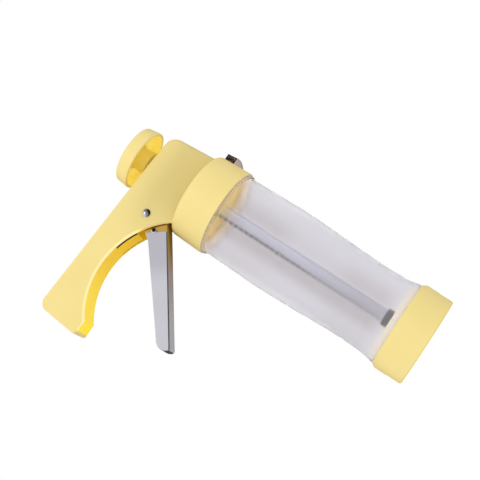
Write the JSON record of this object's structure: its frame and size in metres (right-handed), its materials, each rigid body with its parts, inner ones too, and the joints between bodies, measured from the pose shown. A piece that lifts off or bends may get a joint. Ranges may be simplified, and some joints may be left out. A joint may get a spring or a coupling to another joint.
{
  "type": "cookie press",
  "caption": "Trigger-driven cookie press: frosted barrel with a screw-on front cap, hooked pistol-grip housing, steel squeeze lever, ratchet rod with a round pull knob.",
  "frame": {"origin": "on the barrel's axis, in the plane of the front cap's end face, on which the press stands", "axes": "+Z along the barrel from the cap to the pull knob, +X towards the thumb button with the handle towards -X, +Y across the press"},
  "size_m": [0.1513, 0.06, 0.2245],
  "materials": {
    "yellow_plastic": "satin moulded, pastel yellow",
    "frosted_plastic": "frosted, translucent",
    "polished_steel": "polished",
    "plain_steel": "plain turned and pressed steel",
    "spring_steel": "drawn wire"
  },
  "bodies": {
    "housing": {"body_housing": "yellow_plastic", "pivot_rivet": "polished_steel", "pivot_sleeve": "plain_steel", "lever_return_spring": "spring_steel"},
    "trigger": {"trigger_lever": "polished_steel", "lever_cross_pin": "polished_steel", "pawl_pin": "plain_steel", "pawl_spring": "spring_steel"},
    "pawl": {"drive_pawl": "plain_steel"},
    "rod": {"ratchet_rod": "plain_steel", "pull_knob": "yellow_plastic", "knob_screw": "plain_steel", "piston_disc": "yellow_plastic", "piston_washer": "plain_steel", "piston_front_nut": "plain_steel", "piston_rear_nut": "plain_steel"},
    "release": {"release_button": "polished_steel", "release_catch": "plain_steel", "release_spring": "spring_steel"},
    "barrel": {"barrel_tube": "frosted_plastic"},
    "disc": {"pattern_disc": "plain_steel"},
    "cap": {"front_cap": "yellow_plastic"}
  },
  "joints": [
    {"name": "trigger_pull", "type": "hinge", "parent": "housing", "child": "trigger", "pos_m": [-0.0295, 0, 0.1899], "axis": [0, 1, 0], "range_deg": [0, 33], "stiffness_Nm_per_rad": 0.3, "springref_deg": -20.05, "deforming": ["lever_return_spring"]},
    {"name": "pawl_swing", "type": "hinge", "parent": "trigger", "child": "pawl", "pos_m": [-0.00946, 0, 0.19584], "axis": [0, 1, 0], "range_deg": [-33, 0], "deforming": ["pawl_spring"]},
    {"name": "rod_slide", "type": "slide", "parent": "housing", "child": "rod", "axis": [0, 0, 1], "range_m": [-0.001, 0.125]},
    {"name": "release_press", "type": "slide", "parent": "housing", "child": "release", "axis": [-1, 0, 0], "range_m": [0, 0.003], "stiffness_N_per_m": 400, "springref_m": -0.004, "deforming": ["release_spring"]},
    {"name": "barrel_turn", "type": "hinge", "parent": "housing", "child": "barrel", "pos_m": [0, 0, 0.1495], "axis": [0, 0, 1], "range_deg": [0, 60]},
    {"name": "cap_travel", "type": "slide", "parent": "barrel", "child": "disc", "axis": [0, 0, -1], "range_m": [0, 0.006]},
    {"name": "cap_turn", "type": "hinge", "parent": "disc", "child": "cap", "pos_m": [0, 0, 0], "axis": [0, 0, 1], "range_deg": [0, 360]}
  ],
  "couplings": [
    {"joint": "pawl_swing", "follows": "trigger_pull", "ratio": -1},
    {"joint": "cap_turn", "follows": "cap_travel", "rad_per_m": 1047.2}
  ]
}
